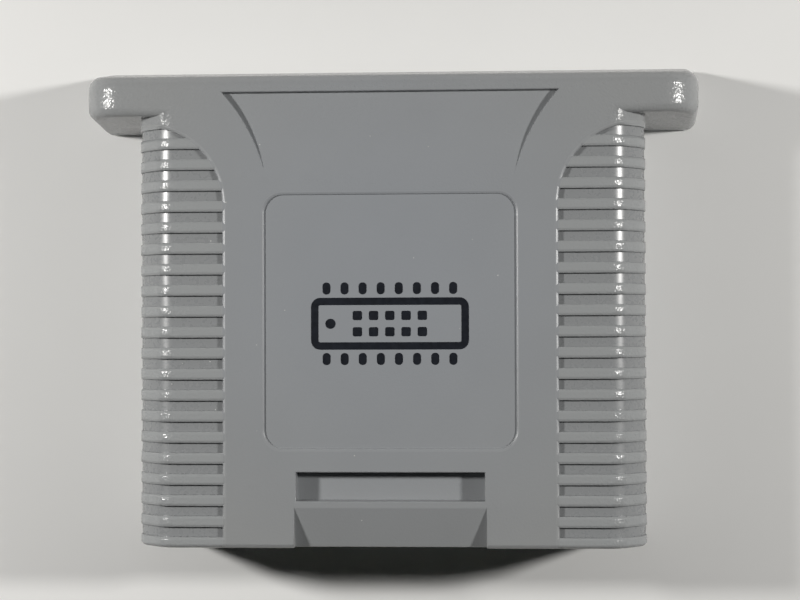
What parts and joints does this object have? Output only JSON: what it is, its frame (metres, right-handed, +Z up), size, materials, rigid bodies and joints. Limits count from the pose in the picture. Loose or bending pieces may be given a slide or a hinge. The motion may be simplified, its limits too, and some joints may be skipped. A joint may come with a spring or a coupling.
{
  "type": "console memory card",
  "caption": "Grey plug-in memory card for a game controller: flanged moulded case with ribbed grips, thumb scoop and latch pocket around a battery-backed board with edge contacts.",
  "frame": {"origin": "middle of the rear face, which the card rests on", "axes": "+Z up out of the front face, +Y from the plug end towards the flange, +X to the right seen from the front"},
  "size_m": [0.0692, 0.0538, 0.0168],
  "materials": {
    "case_plastic": "fine moulded texture, semi-matte",
    "screw_steel": "zinc plated",
    "board_laminate": "solder mask over glass laminate",
    "contact_gold": "gold flash",
    "chip_epoxy": "moulded epoxy",
    "tinned_metal": "tinned",
    "cell_steel": "nickel plated",
    "capacitor_ceramic": "fired ceramic",
    "resistor_ceramic": "glazed film",
    "storage_epoxy": "moulded epoxy"
  },
  "bodies": {
    "root": {"front_shell": "case_plastic", "rear_cover": "case_plastic", "case_screws": "screw_steel", "circuit_board": "board_laminate", "front_contacts": "contact_gold", "rear_contacts": "contact_gold", "memory_chip": "chip_epoxy", "memory_chip_leads": "tinned_metal", "decoder_chip": "chip_epoxy", "decoder_chip_leads": "tinned_metal", "supervisor_chip": "chip_epoxy", "supervisor_chip_leads": "tinned_metal", "switch_transistor": "chip_epoxy", "switch_transistor_leads": "tinned_metal", "coin_cell": "cell_steel", "cell_positive_tab": "tinned_metal", "cell_negative_tab": "tinned_metal", "chip_capacitors": "capacitor_ceramic", "chip_resistors": "resistor_ceramic", "backup_diodes": "chip_epoxy", "storage_capacitor": "storage_epoxy"}
  },
  "joints": []
}
